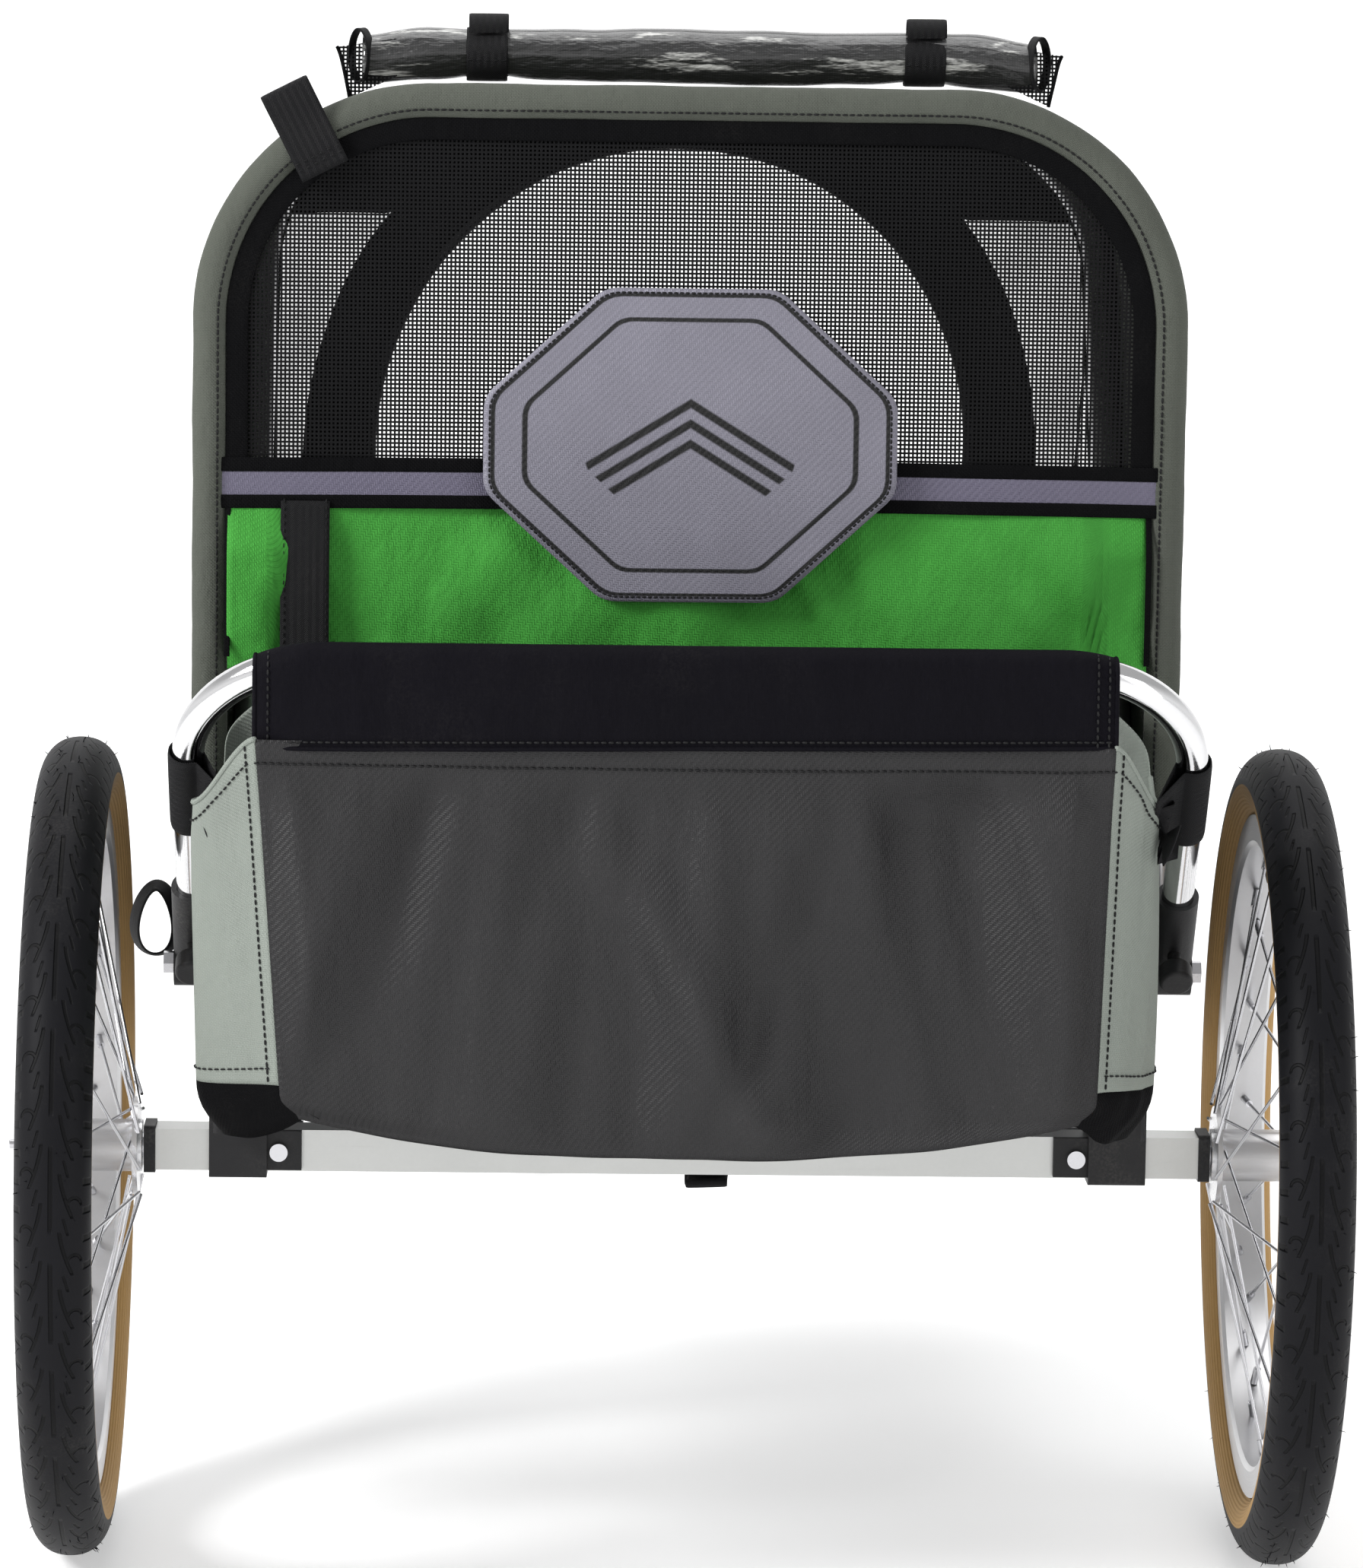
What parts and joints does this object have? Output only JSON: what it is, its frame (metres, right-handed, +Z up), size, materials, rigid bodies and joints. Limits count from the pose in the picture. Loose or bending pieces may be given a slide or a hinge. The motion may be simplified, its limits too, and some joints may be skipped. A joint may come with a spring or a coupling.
{
  "type": "child bicycle trailer",
  "caption": "Covered child bicycle trailer with a folding two-bow canopy, trunk bag, fold-down push bar, quick-release spoked wheels and a side tow arm.",
  "frame": {"origin": "on the ground under the middle of the axle", "axes": "+X to the right seen from behind, +Y the way the trailer travels, +Z up"},
  "size_m": [0.8152, 1.558, 0.9256],
  "materials": {
    "tyre": "matt black tread over tan gum sidewalls",
    "rubber": "soft butyl",
    "rim": "machined, fine turned lines",
    "spoke": "drawn stainless wire",
    "hub": "polished",
    "steel": "zinc plated",
    "beam": "satin drawn",
    "tube": "satin drawn",
    "bright_tube": "polished",
    "black_plastic": "moulded, matt",
    "black_metal": "powder coated, matt",
    "webbing": "woven nylon webbing",
    "pad": "padded polyester",
    "floor": "coated polyester over board",
    "green": "green polyester twill",
    "charcoal": "charcoal polyester twill",
    "black_fabric": "black polyester",
    "grey_green": "grey-green polyester",
    "mesh": "square black mesh",
    "vinyl": "clear vinyl over black mesh"
  },
  "bodies": {
    "frame": {"axle_beam": "beam", "axle_end_caps": "black_plastic", "axle_bushes": "black_plastic", "frame_brackets": "black_metal", "frame_bolts": "steel", "side_rails": "tube", "front_tube": "tube", "tube_plugs": "black_plastic", "floor_panel": "floor", "post_feet": "black_metal", "rear_posts": "tube", "hinge_blocks": "black_metal", "rear_cross_tube": "tube", "seat_front_bar": "tube", "seat_base": "pad", "lap_straps": "webbing", "harness_buckles": "black_plastic", "tub_walls": "green", "trunk_bag": "charcoal", "webbing_loops": "webbing", "arm_receiver": "black_metal"},
    "axle_left": {"axle_pin_left": "steel", "button_spring_left": "steel"},
    "button_left": {"release_button_left": "steel"},
    "wheel_left": {"tyre_left": "tyre", "inner_tube_left": "rubber", "rim_left": "rim", "spokes_left": "spoke", "hub_shell_left": "hub", "wheel_bearings_left": "steel"},
    "axle_right": {"axle_pin_right": "steel", "button_spring_right": "steel"},
    "button_right": {"release_button_right": "steel"},
    "wheel_right": {"tyre_right": "tyre", "inner_tube_right": "rubber", "rim_right": "rim", "spokes_right": "spoke", "hub_shell_right": "hub", "wheel_bearings_right": "steel"},
    "rear_hoop": {"hoop_tube": "tube", "rear_panel": "mesh", "seat_back": "pad", "shoulder_straps": "webbing", "flag_tab": "webbing", "canopy_roof": "grey_green"},
    "front_bow": {"bow_tube": "bright_tube", "rolled_cover": "vinyl", "cover_straps": "webbing", "front_panel": "black_fabric", "side_windows": "mesh"},
    "push_bar": {"bar_tube": "bright_tube", "bar_sockets": "black_metal", "bag_flap": "black_fabric", "bag_loops": "webbing"},
    "knob_left": {"lock_knob_left": "black_plastic"},
    "knob_right": {"lock_knob_right": "black_plastic"},
    "tow_arm": {"arm_tube": "tube", "arm_fittings": "black_metal"},
    "hitch": {"hitch_coupler": "steel"}
  },
  "joints": [
    {"name": "axle_left_release", "type": "slide", "parent": "frame", "child": "axle_left", "axis": [-1, 0, 0], "range_m": [0, 0.07]},
    {"name": "button_left_press", "type": "slide", "parent": "axle_left", "child": "button_left", "axis": [1, 0, 0], "range_m": [0, 0.003], "stiffness_N_per_m": 500, "springref_m": -0.001},
    {"name": "wheel_left_spin", "type": "hinge", "parent": "axle_left", "child": "wheel_left", "pos_m": [-0.366, 0, 0.25], "axis": [1, 0, 0], "continuous": true},
    {"name": "axle_right_release", "type": "slide", "parent": "frame", "child": "axle_right", "axis": [1, 0, 0], "range_m": [0, 0.07]},
    {"name": "button_right_press", "type": "slide", "parent": "axle_right", "child": "button_right", "axis": [-1, 0, 0], "range_m": [0, 0.003], "stiffness_N_per_m": 500, "springref_m": -0.001},
    {"name": "wheel_right_spin", "type": "hinge", "parent": "axle_right", "child": "wheel_right", "pos_m": [0.366, 0, 0.25], "axis": [1, 0, 0], "continuous": true},
    {"name": "canopy_fold", "type": "hinge", "parent": "frame", "child": "rear_hoop", "pos_m": [0, -0.06, 0.418], "axis": [-1, 0, 0], "range_deg": [0, 84.5], "deforming": ["canopy_roof", "front_panel", "side_windows"]},
    {"name": "bow_fold", "type": "hinge", "parent": "rear_hoop", "child": "front_bow", "pos_m": [0, -0.06, 0.418], "axis": [-1, 0, 0], "range_deg": [-31.5, 0], "deforming": ["canopy_roof", "front_panel", "side_windows"]},
    {"name": "push_bar_fold", "type": "hinge", "parent": "frame", "child": "push_bar", "pos_m": [0, -0.08, 0.377], "axis": [1, 0, 0], "range_deg": [0, 50]},
    {"name": "knob_left_pull", "type": "slide", "parent": "push_bar", "child": "knob_left", "axis": [0, -0.7904, -0.6126], "range_m": [0, 0.008], "stiffness_N_per_m": 500, "springref_m": -0.002},
    {"name": "knob_right_pull", "type": "slide", "parent": "push_bar", "child": "knob_right", "axis": [0, -0.7904, -0.6126], "range_m": [0, 0.008], "stiffness_N_per_m": 500, "springref_m": -0.002},
    {"name": "tow_arm_fold", "type": "hinge", "parent": "frame", "child": "tow_arm", "pos_m": [-0.266, 0.515, 0.212], "axis": [1, 0, 0], "range_deg": [-163, 22]},
    {"name": "hitch_swivel", "type": "hinge", "parent": "tow_arm", "child": "hitch", "pos_m": [-0.075, 1.245, 0.028], "axis": [0, 0, 1], "range_deg": [-60, 60]}
  ],
  "couplings": [
    {"joint": "bow_fold", "follows": "canopy_fold", "ratio": -0.3727}
  ]
}
